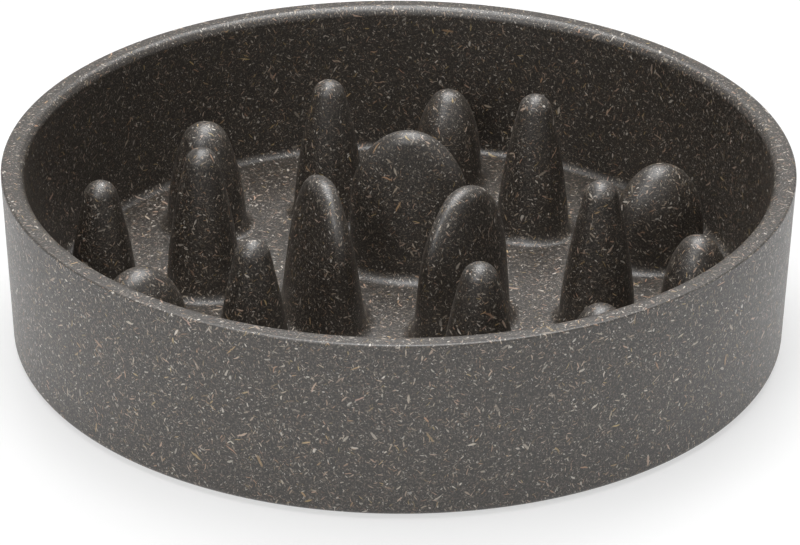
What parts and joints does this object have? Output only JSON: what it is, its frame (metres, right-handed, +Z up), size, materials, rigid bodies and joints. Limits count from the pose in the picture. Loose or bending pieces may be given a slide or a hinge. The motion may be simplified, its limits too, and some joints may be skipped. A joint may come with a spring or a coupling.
{
  "type": "slow feeder bowl",
  "caption": "Round low pet bowl with a thick flat rim and rings of blunt tapered fingers on its floor that slow eating, on small round non-slip feet.",
  "frame": {"origin": "on the resting plane, under the middle of the bowl", "axes": "+Z up through the open bowl, -Y towards the front as pictured, +X to the right"},
  "size_m": [0.2, 0.2, 0.0468],
  "materials": {
    "composite": "satin dark brown composite with pale and rust fibre flecks",
    "silicone": "matt dark silicone"
  },
  "bodies": {
    "root": {"bowl_floor": "composite", "bowl_wall": "composite", "foot_1": "silicone", "foot_2": "silicone", "foot_3": "silicone", "foot_4": "silicone", "inner_finger_1": "composite", "inner_finger_2": "composite", "inner_finger_3": "composite", "middle_finger_1": "composite", "middle_finger_2": "composite", "middle_finger_3": "composite", "middle_finger_4": "composite", "middle_finger_5": "composite", "middle_finger_6": "composite", "outer_finger_1": "composite", "outer_finger_2": "composite", "outer_finger_3": "composite", "outer_finger_4": "composite", "outer_finger_5": "composite", "outer_finger_6": "composite", "outer_finger_7": "composite", "outer_finger_8": "composite"}
  },
  "joints": []
}
